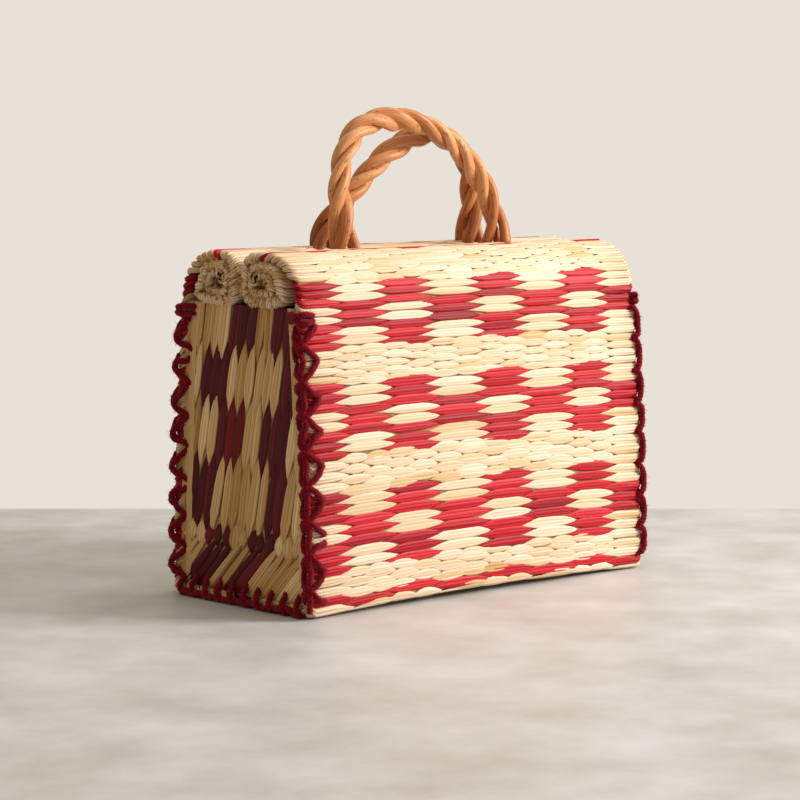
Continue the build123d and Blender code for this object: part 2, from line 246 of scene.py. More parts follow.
def mat_place(x, s, depth, side):
    """Where a point of the mat is: x along the bag, s along its line, depth below the crests."""
    cut = np.interp(s, (roll_start, roll_start + cut_reach), (0.0, 1.0))
    turned_x, turned_depth = end_turn(x, depth)
    cut_x, cut_depth = cut_end(x, depth)
    x = turned_x + (cut_x - turned_x) * cut
    depth = turned_depth + (cut_depth - turned_depth) * cut
    once = (roll_once - thinning, roll_once + thinning)
    depth = depth * np.interp(s, once, (1.0, inner_layer))
    y = np.interp(s, line_s, line_y) + depth * np.interp(s, line_s, inward_y)
    z = np.interp(s, line_s, line_z) + depth * np.interp(s, line_s, inward_z) + lift(x, s)
    return np.stack([x, side * y, z], -1)


def vectors(*parts):
    """Three numbers for each point of a grid. A part may be one number for all of them."""
    return np.stack(np.broadcast_arrays(*parts), -1)


def grid_piece(name, parts, material, closed=False):
    """A mesh of many grids at once.

    Each part is a grid of points in millimetres, (count, rows, columns, 3), with the tone and
    the grain at each point. A closed grid joins its last column to its first.
    """
    quads = []
    start = 0
    for grid, _, _ in parts:
        number = np.arange(math.prod(grid.shape[:3])).reshape(grid.shape[:3]) + start
        start += number.size
        beside = np.roll(number, -1, axis=2)
        if not closed:
            number, beside = number[..., :-1], beside[..., :-1]
        corners = (number[:, :-1], beside[:, :-1], beside[:, 1:], number[:, 1:])
        quads.append(np.stack(corners, -1).reshape(-1, 4))
    quads = np.concatenate(quads)
    points, tones, grains = (
        np.concatenate([values.reshape(-1, 3) for values in part]) for part in zip(*parts)
    )
    points = points * MM
    mesh = bpy.data.meshes.new(name)
    mesh.vertices.add(len(points))
    mesh.vertices.foreach_set("co", points.astype(np.float32).ravel())
    mesh.loops.add(quads.size)
    mesh.loops.foreach_set("vertex_index", quads.astype(np.int32).ravel())
    mesh.polygons.add(len(quads))
    mesh.polygons.foreach_set("loop_start", np.arange(0, quads.size, 4, dtype=np.int32))
    mesh.polygons.foreach_set("use_smooth", np.ones(len(quads), dtype=bool))
    mesh.update(calc_edges=True)
    for key, values in (("tone", tones), ("grain", grains)):
        layer = mesh.attributes.new(key, "FLOAT_VECTOR", "POINT")
        layer.data.foreach_set("vector", values.astype(np.float32).ravel())
    mesh.materials.append(material)
    piece = bpy.data.objects.new(name, mesh)
    bpy.context.scene.collection.objects.link(piece)
    return piece


def ridge(across):
    """Height of a bundle across its width, from 0 in a groove to 1 on the crest of a reed."""
    part = ((across + 1) / 2 * reeds_in_bundle) % 1.0
    return 1 - np.abs(2 * part - 1) ** 3


def per_reed(values, across):
    """One value for each reed of each bundle, at the places across the bundles."""
    last = reeds_in_bundle - 1
    number = np.clip(np.floor((across + 1) * (reeds_in_bundle / 2)), 0, last).astype(int)
    number = np.broadcast_to(number, (len(values), 1, across.size))
    return np.take_along_axis(values, number, axis=2)


def tapers(share, length, overlap):
    """How full a bundle is near its slim left tip and near its blunter right tip, from 0 to 1."""
    left = np.clip(share * length / (overlap * left_taper), 0, 1)
    right = np.clip((1 - share) * length / (overlap * right_taper), 0, 1)
    return left, 1 - (1 - right) ** 2


def tip_steps(count, evenness):
    """Shares along a bundle, from 0 to 1 and closer together near its tips."""
    eased = (1 - np.cos(np.linspace(0, math.pi, count))) / 2
    share = (1 - evenness) * eased + evenness * np.linspace(0, 1, count)
    return share[None, :, None]


Draws = namedtuple("Draws", "start stop width wander slant rises shades seed")


def draw_bundles(count, style):
    """All that is random about some bundles, in the order in which it is drawn."""
    each = (count, 1, 1)
    each_reed = (count, 1, reeds_in_bundle)
    return Draws(
        start=rng.normal(0, style.ends, each),
        stop=rng.normal(0, style.ends, each),
        width=1 + rng.normal(0, style.width, each),
        wander=rng.normal(0, style.wander, each),
        slant=rng.normal(0, style.slant, each),
        rises=rng.normal(0, style.rise, each) + rng.normal(0, style.reed_rise, each_reed),
        shades=np.clip(
            rng.normal(style.shade, style.shade_spread, each)
            + rng.normal(0, style.reed_spread, each_reed),
            *shade_limits,
        ),
        seed=rng.uniform(0, grain_room, each),
    )


# The materials

def new_material(name):
    """A material with its nodes, its links and its shader."""
    material = bpy.data.materials.new(name)
    material.use_nodes = True
    nodes, links = material.node_tree.nodes, material.node_tree.links
    shader = nodes["Principled BSDF"]
    return material, nodes, links, shader


def colour(red, green, blue):
    """A linear colour from its usual values of 0 to 255."""
    def linear(value):
        share = value / 255
        return share / 12.92 if share <= 0.04045 else ((share + 0.055) / 1.055) ** 2.4
    return (linear(red), linear(green), linear(blue), 1.0)


def ramp(nodes, stops):
    """A colour ramp. Each stop is its place, then its red, green and blue."""
    node = nodes.new("ShaderNodeValToRGB")
    elements = node.color_ramp.elements
    while len(elements) < len(stops):
        elements.new(0.5)
    for element, (place, *values) in zip(elements, stops):
        element.position = place
        element.color = colour(*values)
    return node


def set_inputs(node, **values):
    """Set a node's inputs by their names, with _ for a space."""
    for name, value in values.items():
        node.inputs[name.replace("_", " ")].default_value = value
    return node


def fibre_material(name, stops, dark, roughness, streak=0.35, bump=0.25, sheen=0.0, specular=0.3):
    """Reed, willow or wool: a shade for each strand, with fibres that run along it."""
    material, nodes, links, shader = new_material(name)
    grain = nodes.new("ShaderNodeAttribute")
    grain.attribute_name = "grain"
    tone = nodes.new("ShaderNodeAttribute")
    tone.attribute_name = "tone"
    parts = nodes.new("ShaderNodeSeparateXYZ")
    links.new(tone.outputs["Vector"], parts.inputs[0])
    fibres = set_inputs(nodes.new("ShaderNodeTexNoise"), Scale=1.0, Detail=4.0, Roughness=0.6)
    links.new(grain.outputs["Vector"], fibres.inputs["Vector"])
    shift = nodes.new("ShaderNodeMath")
    shift.operation = "MULTIPLY_ADD"
    shift.inputs[1].default_value = streak
    links.new(fibres.outputs["Fac"], shift.inputs[0])
    base = nodes.new("ShaderNodeMath")
    base.operation = "SUBTRACT"
    links.new(parts.outputs["X"], base.inputs[0])
    base.inputs[1].default_value = streak / 2
    links.new(base.outputs[0], shift.inputs[2])
    shades = ramp(nodes, stops)
    links.new(shift.outputs[0], shades.inputs[0])
    # The tone's second value mixes in the dark colour: painted shade in the grooves and hollows of
    # reeds and wool and on the stick, and real nicks on the willow
    groove = nodes.new("ShaderNodeMix")
    groove.data_type = "RGBA"
    groove.clamp_factor = True
    set_inputs(groove, B=colour(*dark))
    links.new(parts.outputs["Y"], groove.inputs["Factor"])
    links.new(shades.outputs[0], groove.inputs["A"])
    links.new(groove.outputs["Result"], shader.inputs["Base Color"])
    set_inputs(shader, Roughness=roughness, Specular_IOR_Level=specular)
    set_inputs(shader, Sheen_Weight=sheen, Sheen_Roughness=0.5)
    raised = set_inputs(nodes.new("ShaderNodeBump"), Strength=bump, Distance=0.0003)
    links.new(fibres.outputs["Fac"], raised.inputs["Height"])
    links.new(raised.outputs[0], shader.inputs["Normal"])
    return material


reed = fibre_material(
    "reed",
    ((0.0, 164, 122, 66), (0.3, 208, 172, 116), (0.6, 232, 204, 174), (1.0, 244, 224, 204)),
    dark=(150, 106, 58), roughness=0.55,
)
# Darker and yellower than the reed, for the end panels, their edge reeds and the rolls' frayed
# ends: partly older reed, partly painted shade, as the ends of the bag lie in shade
aged_and_painted_shade_reed = fibre_material(
    "aged_and_painted_shade_reed",
    ((0.0, 132, 90, 42), (0.3, 190, 146, 86), (0.6, 216, 178, 122), (1.0, 238, 208, 160)),
    dark=(120, 80, 36), roughness=0.6,
)
dyed_reed = fibre_material(
    "dyed_reed",
    ((0.0, 66, 2, 12), (0.35, 150, 6, 24), (0.7, 208, 14, 36), (1.0, 236, 58, 72)),
    dark=(70, 2, 10), roughness=0.5, specular=0.22,
)
core_reed = fibre_material(
    "core_reed",
    ((0.0, 150, 108, 60), (1.0, 206, 164, 108)),
    dark=(60, 40, 20), roughness=0.7,
)
willow = fibre_material(
    "willow",
    ((0.0, 112, 58, 24), (0.35, 168, 98, 50), (0.7, 208, 142, 88), (1.0, 236, 184, 136)),
    dark=(84, 40, 16), roughness=0.4, streak=1.3, bump=0.6, specular=0.35,
)
wool = fibre_material(
    "wool",
    ((0.0, 58, 2, 12), (0.5, 124, 4, 24), (1.0, 190, 16, 46)),
    dark=(30, 1, 6), roughness=0.85, bump=0.5, sheen=0.08, specular=0.1,
)


# The woven reeds

Row = namedtuple("Row", "number place pitch dyed fine")


def pick_rows():
    """Every pick up the mat, from below the ground to the end of the roll.

    A fine row goes over one cross reed at a time, and the others over two.
    """
    rows = []
    place, number = 0.0, 0
    while place - bottom_pick > line_s[0]:
        rows.append(Row(number, place - bottom_pick / 2, bottom_pick, False, False))
        place -= bottom_pick
        number -= 1
    place, number = 0.0, 1
    for kind, count, length in zones:
        pitch = length / count
        for index in range(count):
            dyed = kind == "red" or (kind == "band" and index % 5 % 2 == 0)
            rows.append(Row(number, place + pitch / 2, pitch, dyed, kind == "plain"))
            place += pitch
            number += 1
    while place + roll_pick < mat_end:
        rows.append(Row(number, place + roll_pick / 2, roll_pick, False, True))
        place += roll_pick
        number += 1
    return rows


all_rows = pick_rows()
fine_numbers = {row.number for row in all_rows if row.fine}
beside_bands = {number for number in fine_numbers if not {number - 1, number + 1} <= fine_numbers}
blend_low, blend_high = fold_path - blend_reach, fold_path + blend_reach


def rows_between(low, high):
    """The picks in a stretch of the mat."""
    return [row for row in all_rows if low <= row.place < high]


def mat_bundles(rows, warps, column, side, inside, groove_painted_shade):
    """Points, tones and grain of the bundles in one column, outside or inside the bag."""
    low, high = warps[column], warps[column + 1]
    edge_column = column in (0, len(warps) - 2)
    fine = warps is fine_lines
    short = fine and not edge_column
    if edge_column:
        along_steps = 30
    elif inside:
        along_steps = 5 if fine else 9
    else:
        along_steps = 12 if fine else 15
    share = tip_steps(along_steps, 0.45)
    across = np.linspace(-1, 1, 4 if inside else 10)[None, None, :]
    draws = draw_bundles(len(rows), mat_style)
    s = np.array([row.place for row in rows])[:, None, None]
    pitch = np.array([row.pitch for row in rows])[:, None, None]

    overlap = fine_overlap if short else tip_overlap
    start = low - overlap + draws.start
    stop = high + overlap + draws.stop
    if edge_column:
        run = math.pi * turn_radius + half_length - turn_radius
        out = 2 * run - min(abs(low), abs(high)) - turn_radius * math.pi - inside_stop
        if column == 0:
            start = np.full_like(start, -out)
        else:
            stop = np.full_like(stop, out)
    x = start + (stop - start) * share
    past = np.abs(x) - (half_length - turn_radius)
    turned = np.clip(past / (turn_radius * math.pi), 0, 1)
    near_end = edge_column * np.clip(1 + past / end_reach, 0, 1) * (turned < 1)

    left, right = tapers(share, np.abs(stop - start), fine_taper_reach if short else overlap)
    fullness = np.maximum(left * right, least_width)
    width = pitch * fullness * draws.width
    tilt = -tip_tilt * pitch * ((1 - left) ** 1.5 + (1 - right) ** 1.5)
    wander = draws.wander + draws.slant * (share - 0.5)
    path = s + tilt + wander + turn_climb * pitch * turned + across * width * mat_style.fill

    crest = ridge(across)
    relief = reed_relief + end_relief * np.sin(math.pi * turned)
    depth = tip_depth * (left_sink * (1 - left) ** 3 + right_sink * (1 - right) ** 4)
    depth = depth + float_arch * (2 * share - 1) ** 2
    depth = depth + edge_drop * np.abs(across) ** 3 + relief * (1 - crest)
    depth = depth - per_reed(draws.rises, across) * fullness
    depth = depth + end_drop * np.abs(across) ** 2.5 * near_end**1.5
    depth = np.maximum(depth, -most_rise) + crest_sink
    if inside:
        depth = mat_thickness - depth
    points = mat_place(*np.broadcast_arrays(x, path, depth), side)

    # Painted shade where the reeds turn round the ends of the bag
    shade = per_reed(draws.shades, across) - turn_painted_shade * np.sin(math.pi / 2 * turned)
    # Painted shade: the dark value darkens the grooves between the reeds, the rims of each bundle
    # and the hollow at each blunt right tip, and more so where the reeds turn round the ends
    rim_shade_mask = np.abs(across) ** 8
    dark = groove_painted_shade * ((1 - crest) * (1 - rim_shade_mask) + 0.6 * rim_shade_mask) + 0.9 * (1 - right) ** 7
    dark = np.clip(dark + near_end * ((1 - crest) * 0.5 + 0.5 * rim_shade_mask), 0, 1)
    tone = vectors(shade, dark, 0)
    seed = draws.seed
    grain = vectors(x * grain_along + seed, (path - s) * grain_across + seed, seed)
    return points, tone, grain


def weave(name, picks, side, dyed):
    """The reeds of one colour in a stretch of the mat."""
    parts = []
    # Painted shade in the grooves between the reeds, deeper for the red
    groove_painted_shade = 0.7 if dyed else 0.35
    for fine, warps in ((False, warp_lines), (True, fine_lines)):
        seen = [row for row in picks if row.dyed == dyed and row.fine == fine]
        for column in range(len(warps) - 1):
            edge_column = column in (0, len(warps) - 2)
            shown, hidden = [], []
            for row in seen:
                if row.place >= roll_once and not edge_column:
                    continue
                on_top = (row.number + column) % 2 == 1
                # Next to a checked band a fine row also shows where a long float would
                if row.number in beside_bands and not edge_column:
                    on_top = on_top or (row.number + (column + 1) // 2) % 2 == 1
                (shown if on_top else hidden).append(row)
            for rows, inside in ((shown, False), (hidden, True)):
                if rows and not (inside and edge_column):
                    parts.append(mat_bundles(rows, warps, column, side, inside, groove_painted_shade))
    piece = grid_piece(name, parts, dyed_reed if dyed else reed)
    return piece


def core_sheet(name, start, stop, side):
    """The hidden cross reeds, seen only in the gaps between the bundles."""
    s = np.append(np.arange(start, stop, 2.5), stop)[None, :, None]
    x = np.linspace(-half_length + turn_radius, half_length - turn_radius, 29)[None, None, :]
    s, x = np.broadcast_arrays(s, x)
    points = mat_place(x, s, np.full(x.shape, core_depth), side)
    grain = vectors(x * grain_across, s * core_grain, 0)
    piece = grid_piece(name, [(points, vectors(0.5, 0, 0 * x), grain)], core_reed)
    return piece


def fold_points(side):
    """The ends of the stretch that bends when a flap opens, in metres."""
    ends = []
    for path in (blend_low, blend_high):
        y, z = np.interp(path, line_s, line_y), np.interp(path, line_s, line_z)
        ends.append((0.0, side * y * MM, z * MM))
    return ends


for side, word in ((1, "front"), (-1, "back")):
    lid = word + "_lid"
    start, end = fold_points(side)
    for dyed, kind in ((False, "reeds"), (True, "dyed_reeds")):
        wall = weave(f"{word}_wall_{kind}", rows_between(0, blend_low), side, dyed)
        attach(wall, "basket")
        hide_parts(f"{word}_red_reeds" if dyed else "body_mat")
        fold = weave(f"{word}_fold_{kind}", rows_between(blend_low, blend_high), side, dyed)
        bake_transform(fold)
        flap = weave(f"{word}_flap_{kind}", rows_between(blend_high, mat_end), side, dyed)
        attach(flap, lid)
        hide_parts(f"{word}_flap_red_reeds" if dyed else f"{word}_flap")
    under = weave(f"{word}_bottom_reeds", rows_between(line_s[0], 0), side, False)
    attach(under, "basket")
    core = core_sheet(f"{word}_wall_core", line_s[0], blend_low, side)
    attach(core, "basket")
    core = core_sheet(f"{word}_fold_core", blend_low - 1, blend_high + 1, side)
    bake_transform(core)
    core = core_sheet(f"{word}_flap_core", blend_high, mat_end, side)
    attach(core, lid)


# The end panels: upright reeds that lean towards the back on their way down

panel_recess = 3.0
panel_top = 178.5
panel_rows = (5.8, 34.0, 44.0, 83.0, 118.0, 150.0, 178.2)
panel_picks = range(-18, 40)  # more than the panel is wide, as the reeds lean
panel_pick = 4.1
panel_lean = 0.2
low_lean = 0.8
panel_overlap = 7.5
overlap_share = 0.3  # of a row's height, at most
edge_room = 4.0  # bundles this far past an edge still show, squeezed in
wall_room = 0.8
panel_edge_drop = 1.4 * edge_drop
panel_relief = 1.6 * reed_relief
panel_reds = {0: ((8, 21), (73, 94)), 1: ((13, 32), (51, 75))}
across_steps = 13
edge_reed_offsets = (2.0, 5.6, 9.2)
edge_reed_width = 1.9
edge_reed_depth = 0.1
edge_reed_tones = (0.45, 0.7)
full_turn = 6.28


def panel_drift(z, row):
    """How far the upright reeds have leant back at a height. The lowest row leans most."""
    return panel_lean * (panel_top - z) + (low_lean * (panel_rows[1] - z) if row == 0 else 0)


def panel_edge(z):
    """Half the room between the walls at a height."""
    return -wall_line(z)[0] - mat_thickness + wall_room


def panel_centres(row, inside, dyed):
    """Where a row has bundles of one colour, on the outside or the inside of the panel."""
    middle_height = (panel_rows[row] + panel_rows[row + 1]) / 2
    reds = panel_reds[row % 2 if row else 1]
    centres = []
    for pick in panel_picks:
        centre = (pick + 0.5) * panel_pick
        red = any(left <= centre <= right for left, right in reds)
        middle = centre + panel_drift(middle_height, row) - half_depth
        fits = abs(middle) < panel_edge(middle_height) + edge_room
        if (pick + row + inside) % 2 == 0 and red == dyed and fits:
            centres.append(centre)
    return centres


def panel_bundles(end, word, dyed):
    """The upright reed bundles of one end panel, -1 on the left and 1 on the right."""
    parts = []
    style = dyed_panel_painted_shade_style if dyed else panel_style
    last_row = len(panel_rows) - 2
    share = tip_steps(16, 0.5)
    across = np.linspace(-1, 1, across_steps)[None, None, :]
    crest = ridge(across)
    rim_shade_mask = np.abs(across) ** 8
    for row, inside in product(range(last_row + 1), (False, True)):
        centres = panel_centres(row, inside, dyed)
        if not centres:
            continue
        low, high = panel_rows[row], panel_rows[row + 1]
        draws = draw_bundles(len(centres), style)
        overlap = min(panel_overlap, (high - low) * overlap_share)
        start = low - overlap + draws.start
        stop = high + overlap + draws.stop
        z = start + (stop - start) * share
        left, right = tapers(share, stop - start, overlap)
        if row == 0:
            left = 1.0
        if row == last_row:
            right = 1.0
        fullness = np.maximum(left * right, least_width)
        width = panel_pick * fullness * draws.width
        wander = draws.wander + draws.slant * (share - 0.5)
        place = np.array(centres)[:, None, None] + wander + across * width * style.fill
        y = place + panel_drift(z, row) - half_depth
        z = np.clip(z, panel_rows[0], panel_rows[-1])
        y = np.clip(y, -panel_edge(z), panel_edge(z))
        depth = tip_depth * ((1 - left) ** 2.5 + (1 - right) ** 2.5)
        depth = depth + panel_edge_drop * np.abs(across) ** 3 + panel_relief * (1 - crest)
        depth = depth - per_reed(draws.rises, across) * fullness
        depth = np.maximum(depth, -crest_sink) + crest_sink
        if inside:
            depth = mat_thickness - depth
        # Painted shade: darker in the grooves between the reeds, at the rims of the bundles and
        # where their tips dip under
        tips = (1 - right) ** 5 + (1 - left) ** 5
        dark = np.clip((1 - crest) * (1 - rim_shade_mask) * 0.5 + 0.6 * rim_shade_mask + tips * 0.6, 0, 1)
        seed = draws.seed
        parts.append((
            vectors(end * (half_length - panel_recess - depth), y, z),
            vectors(per_reed(draws.shades, across), dark, 0),
            vectors(z * grain_along + seed, place * grain_across + seed, seed),
        ))
    name = f"{word}_panel_{'dyed_' if dyed else ''}upright_reeds"
    piece = grid_piece(name, parts, dyed_reed if dyed else aged_and_painted_shade_reed)
    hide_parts(f"{word}_panel_red_reeds" if dyed else f"{word}_panel")
    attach(piece, "basket")


def panel_edge_reeds(end, word):
    """Long reeds that run up both edges of an end panel without a break."""
    z = np.linspace(panel_rows[0], panel_rows[-1], 30)[None, :, None]
    across = np.linspace(-1, 1, across_steps)[None, None, :]
    edge = panel_edge(z)
    groove = 1 - ridge(across)
    # Painted shade in the grooves between the reeds and at their rims
    dark = np.clip(groove * 0.5 + 0.6 * np.abs(across) ** 8, 0, 1)
    depth = edge_reed_depth + edge_drop * np.abs(across) ** 3 + panel_relief * groove
    x = end * (half_length - panel_recess - depth)
    parts = []
    for side, offset in product((-1, 1), edge_reed_offsets):
        wander = rng.normal(0, 0.3) + 0.5 * np.sin(z / 23 + rng.uniform(0, full_turn))
        place = np.clip(side * (edge - offset) + wander + across * edge_reed_width, -edge, edge)
        seed = rng.uniform(0, grain_room)
        parts.append((
            vectors(x, place, z),
            vectors(rng.uniform(*edge_reed_tones), dark, 0 * place),
            vectors(z * grain_along + seed, place * grain_across + seed, 0),
        ))
    piece = grid_piece(f"{word}_panel_edge_reeds", parts, aged_and_painted_shade_reed)
    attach(piece, "basket")


def panel_core(end, word):
    """The hidden cross reeds of an end panel."""
    z = np.linspace(panel_rows[0], panel_rows[-1] - 1, 60)[None, :, None]
    y = panel_edge(z) * np.linspace(-1, 1, 40)[None, None, :]
    points = vectors(end * (half_length - panel_recess - core_depth), y, z)
    grain = vectors(z * core_grain, y * grain_across, 0)
    piece = grid_piece(f"{word}_panel_core", [(points, vectors(0.4, 0, 0 * y), grain)], core_reed)
    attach(piece, "basket")


for end, word in ((-1, "left"), (1, "right")):
    panel_bundles(end, word, False)
    panel_bundles(end, word, True)
    panel_edge_reeds(end, word)
    panel_core(end, word)


# Tubes: the willow rods, the sticks and the wool

def unit(directions):
    """Each direction at a length of 1."""
    return directions / np.linalg.norm(directions, axis=1)[:, None]


def run_of(line):
    """How far along a line each of its points is."""
    return np.concatenate([[0], np.cumsum(np.linalg.norm(np.diff(line, axis=0), axis=1))])


def smooth_line(points, per_step):
    """A smooth line through the points, as in Catmull and Rom's curve."""
    points = np.asarray(points, float)
    before, after = 2 * points[0] - points[1], 2 * points[-1] - points[-2]
    padded = np.concatenate([[before], points, [after]])
    share = np.linspace(0, 1, per_step, endpoint=False)[:, None]
    out = []
    for a, b, c, d in zip(padded, padded[1:], padded[2:], padded[3:]):
        square, cube = 2 * a - 5 * b + 4 * c - d, 3 * b - a - 3 * c + d
        out.append(0.5 * (2 * b + (c - a) * share + square * share**2 + cube * share**3))
    out.append(points[-1:])
    return np.concatenate(out)


def tube_grid(line, radius, sides, lobes=0, lobe=0.0, twist=0.0, cap=False):
    """A tube round a line. radius may change along it, and lobes wind round it as in spun yarn.

    It gives the points of the tube, how far along it they are and their angle round it.
    """
    heading = unit(np.gradient(line, axis=0))
    across = np.zeros_like(line)
    level = abs(heading[0][1]) < 0.8
    guide = np.array([0.0, 1.0, 0.0]) if level else np.array([1.0, 0.0, 0.0])
    for index, forward in enumerate(heading):
        guide = guide - forward * (guide @ forward)
        guide /= np.linalg.norm(guide)
        across[index] = guide
    other = np.cross(heading, across)
    run = run_of(line)
    angle = np.linspace(0, 2 * math.pi, sides, endpoint=False)[None, :]
    size = np.broadcast_to(radius, run.shape)[:, None]
    size = size * (1 + lobe * np.cos(lobes * (angle - twist * run[:, None])))
    points = line[:, None, :] + size[..., None] * (
        across[:, None, :] * np.cos(angle)[..., None]
        + other[:, None, :] * np.sin(angle)[..., None]
    )
    if cap:
        first, last = line[:1, None, :] + 0 * points[:1], line[-1:, None, :] + 0 * points[-1:]
        points = np.concatenate([first, points, last])
        run = np.concatenate([run[:1], run, run[-1:]])
    run, angle = np.broadcast_arrays(run[:, None], angle)
    return points, run, angle


def tube_part(points, tone, grain):
    """One tube as a part of a piece."""
    return points[None], tone[None], grain[None]


rod_diameter = 7.0
rod_ring = 3.55
rod_sides = 24
rod_lobe = 0.11  # how far a rod is from round, as a share
rod_lobe_twist = 0.035
swells = ((0.07, 19), (0.05, 6.3))  # of its thickness, and how long they are
twist_pitch = 56.0
slack_twist = 0.45
foot_spread = 3.2
foot_stretch = 30.0
rod_depth = 9.0
handle_foot_offset = 13.5
handle_top_offset = 7.4
rod_tones = (0.44, 0.66)
foot_tone = 0.3  # the feet are darker by this much
foot_tone_reach = 45
nick_share = 0.035
nick_tones = (0.3, 0.9)
routes = {
    "front": ((-70, 0), (-69, 45), (-54, 69), (-20, 76), (20, 64.5), (46, 39), (58, 0)),
    "back": ((-63, 0), (-52, 21), (-25, 47), (15, 67), (44, 59), (58, 34), (60, 0)),
}


def clamped_spline(points, first, last, count):
    """A cubic spline through the points that starts and ends in given directions."""
    points = np.asarray(points, float)
    gap = np.linalg.norm(np.diff(points, axis=0), axis=1)
    mark = run_of(points)
    size = len(points)
    matrix = np.eye(size)
    slopes = np.zeros_like(points)
    slopes[0], slopes[-1] = first, last
    for index in range(1, size - 1):
        before, after = gap[index - 1], gap[index]
        matrix[index, index - 1:index + 2] = (1 / before, 2 / before + 2 / after, 1 / after)
        slopes[index] = 3 * ((points[index] - points[index - 1]) / before**2
                             + (points[index + 1] - points[index]) / after**2)
    slopes = np.linalg.solve(matrix, slopes)
    place = np.linspace(0, mark[-1], count)
    index = np.clip(np.searchsorted(mark, place, side="right") - 1, 0, size - 2)
    step = gap[index][:, None]
    share = ((place - mark[index]) / gap[index])[:, None]
    line = (
        (2 * share**3 - 3 * share**2 + 1) * points[index]
        + (share**3 - 2 * share**2 + share) * step * slopes[index]
        + (-2 * share**3 + 3 * share**2) * points[index + 1]
        + (share**3 - share**2) * step * slopes[index + 1]
    )
    run = run_of(line)
    even = np.linspace(0, run[-1], count)
    return np.stack([np.interp(even, run, line[:, axis]) for axis in range(3)], -1), run[-1]


def turns_at(share, length):
    """Turns of the twist up to a share of an arch. It slackens towards the feet."""
    feet = foot_stretch / length
    near_start = np.minimum(share, feet)
    near_end = np.maximum(share - 1 + feet, 0)
    slack = (1 - slack_twist) * (near_start - near_start**2 / (2 * feet) + near_end**2 / (2 * feet))
    return (share - slack) * length / twist_pitch


def handle(word, side):
    """Three willow rods wound round an arch, with their feet in the roll."""
    route = routes[word]
    rise = max(height for _, height in route)
    lean = (handle_foot_offset - handle_top_offset) / rise
    points = [
        (along, side * (handle_foot_offset - lean * up), lid_height + up) for along, up in route
    ]
    arch, length = clamped_spline(points, (0, 0, 1), (0, 0, -1), 200)
    heading = unit(np.gradient(arch, axis=0))
    outward = unit(np.array([0.0, 1.0, 0.0]) - heading * heading[:, 1:2])
    sideways = np.cross(heading, outward)
    share = np.linspace(0, 1, len(arch))
    foot = np.minimum(share, 1 - share) * length
    reach = rod_ring + foot_spread * np.maximum(0, 1 - foot / foot_stretch) ** 2
    sunk = np.linspace(rod_depth, 0.8, 6)[:, None] * np.array([[0.0, 0.0, -1.0]])
    for rod in range(3):
        angle = 2 * math.pi * (turns_at(share, length) + rod / 3)[:, None]
        line = arch + (outward * np.cos(angle) + sideways * np.sin(angle)) * reach[:, None]
        line = np.concatenate([line[:1] + sunk, line, line[-1:] + sunk[::-1]])
        run = np.linspace(0, length, len(line))
        phase = rng.uniform(0, full_turn, 3)
        radius = 1
        for (size, wave), start in zip(swells, phase):
            radius = radius + size * np.sin(run / wave + start)
        points, along, round_angle = tube_grid(
            line, rod_diameter / 2 * radius, rod_sides,
            lobes=2, lobe=rod_lobe, twist=rod_lobe_twist, cap=True,
        )
        seed = rng.uniform(0, grain_room)
        shade = rng.uniform(*rod_tones) + 0.1 * np.sin(along / 23 + phase[2])
        from_foot = np.minimum(along, along[-1, 0] - along)
        shade = shade - foot_tone * np.maximum(0, 1 - from_foot / foot_tone_reach)
        nicked = rng.random(along.shape) > 1 - nick_share
        tone = vectors(shade, nicked * rng.uniform(*nick_tones, along.shape), 0)
        grain = vectors(along * 0.04 + seed, np.cos(round_angle) * 7, np.sin(round_angle) * 7)
        name = f"{word}_handle_rod_{rod + 1}"
        piece = grid_piece(name + "_willow", [tube_part(points, tone, grain)], willow, closed=True)
        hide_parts(name)
        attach(piece, word + "_lid")


def stick(word):
    """The stick inside a roll."""
    low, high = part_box(word + "_stick")
    radius = (high.z - low.z) / 2 / MM
    centre = (low + high) / 2 / MM
    line = vectors(np.linspace(low.x / MM, high.x / MM, 60), centre.y, centre.z)
    points, along, angle = tube_grid(line, radius, 18, lobes=3, lobe=0.02, cap=True)
    # Painted shade: darker brown than the stick's own light tan, for the shade inside the roll
    tone = vectors(0.2, 0.3, 0 * along)
    grain = vectors(along * 0.03, np.cos(angle) * 3, np.sin(angle) * 3)
    piece = grid_piece(word + "_stick_wood", [tube_part(points, tone, grain)], reed, closed=True)
    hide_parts(word + "_stick")
    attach(piece, word + "_lid")


frayed_count = 340
frayed_lengths = (2.5, 6.0)
frayed_halves = (0.4, 1.3)  # half the width of an end
frayed_shape = ((0.0, 1.0), (0.35, 1.0), (0.7, 0.8), (1.0, 0.35))  # width along it
frayed_tones = (0.2, 0.85)


